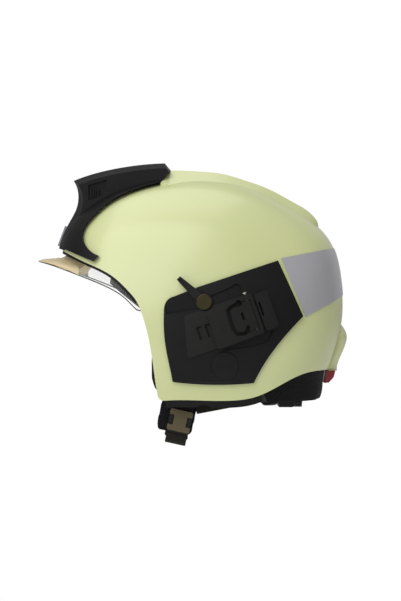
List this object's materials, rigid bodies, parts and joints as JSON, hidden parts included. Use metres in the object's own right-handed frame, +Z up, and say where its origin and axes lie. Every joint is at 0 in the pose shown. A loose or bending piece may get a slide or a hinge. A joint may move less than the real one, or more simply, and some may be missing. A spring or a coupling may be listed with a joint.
{
  "type": "jet style fire helmet",
  "caption": "Open-face jet style fire helmet with a stowed swing-down visor, front crest, side mask adapters, reflective band, liner, headband and chin strap.",
  "frame": {"origin": "middle of the visor's pivot axis, on the plane of symmetry inside the head space", "axes": "+Z up, the wearer faces -X, the wearer's left side is -Y"},
  "size_m": [0.316, 0.2462, 0.2834],
  "materials": {
    "shell_lacquer": "gloss lacquer on moulded composite",
    "black_moulding": "fine grained",
    "badge_plate": "smooth",
    "black_rubber": "matte",
    "clear_visor": "polished",
    "amber_strip": "satin",
    "steel": "blackened",
    "reflective_film": "retroreflective",
    "red_lens": "smooth",
    "black_cloth": "knitted",
    "foam": "beaded foam",
    "webbing": "woven",
    "headband_plastic": "moulded",
    "olive_moulding": "fine grained"
  },
  "bodies": {
    "helmet": {"outer_shell": "shell_lacquer", "rear_cover": "shell_lacquer", "front_crest": "black_moulding", "side_cover_left": "black_moulding", "side_cover_right": "black_moulding", "mask_adapter_left": "black_moulding", "mask_adapter_right": "black_moulding", "cover_cap_left": "black_moulding", "cover_cap_right": "black_moulding", "ratchet_housing": "black_moulding", "buckle_tab": "black_moulding", "strap_slider": "black_moulding", "front_badge": "badge_plate", "brim_seal": "black_rubber", "rim_band_left": "black_rubber", "rim_band_right": "black_rubber", "adapter_pins": "steel", "strap_anchors": "steel", "reflective_band": "reflective_film", "rear_lens": "red_lens", "nape_skirt": "black_cloth", "ear_pad_left": "black_cloth", "ear_pad_right": "black_cloth", "brow_pad": "black_cloth", "crown_pad": "black_cloth", "buckle_pad": "black_cloth", "chin_pad": "black_cloth", "impact_liner": "foam", "crown_straps": "webbing", "chin_strap": "webbing", "strap_front_left": "webbing", "strap_front_right": "webbing", "strap_rear_left": "webbing", "strap_rear_right": "webbing", "headband": "headband_plastic", "buckle_body": "olive_moulding"},
    "visor": {"visor": "clear_visor", "visor_grip_strip": "amber_strip", "visor_lever_left": "black_moulding", "visor_lever_right": "black_moulding", "pivot_screws": "steel"},
    "latch_left": {"adapter_latch_left": "black_moulding"},
    "latch_right": {"adapter_latch_right": "black_moulding"},
    "knob": {"ratchet_knob": "black_moulding"},
    "prong_front": {"buckle_prong_front": "black_moulding"},
    "prong_rear": {"buckle_prong_rear": "black_moulding"}
  },
  "joints": [
    {"name": "visor_tilt", "type": "hinge", "parent": "helmet", "child": "visor", "pos_m": [0, 0, 0], "axis": [0, -1, 0], "range_deg": [0, 54]},
    {"name": "latch_left_press", "type": "hinge", "parent": "helmet", "child": "latch_left", "pos_m": [0.04545, -0.11619, -0.01041], "axis": [0.3293, -0.0872, -0.9402], "range_deg": [0, 4], "stiffness_Nm_per_rad": 1},
    {"name": "latch_right_press", "type": "hinge", "parent": "helmet", "child": "latch_right", "pos_m": [0.04545, 0.11619, -0.01041], "axis": [-0.3293, -0.0872, 0.9402], "range_deg": [0, 4], "stiffness_Nm_per_rad": 1},
    {"name": "ratchet_turn", "type": "hinge", "parent": "helmet", "child": "knob", "pos_m": [0.1, 0, -0.096], "axis": [1, 0, 0], "continuous": true},
    {"name": "prong_front_press", "type": "slide", "parent": "helmet", "child": "prong_front", "axis": [0.9759, 0, -0.2181], "range_m": [0, 0.002], "stiffness_N_per_m": 1500},
    {"name": "prong_rear_press", "type": "slide", "parent": "helmet", "child": "prong_rear", "axis": [-0.9759, 0, 0.2181], "range_m": [0, 0.002], "stiffness_N_per_m": 1500}
  ]
}
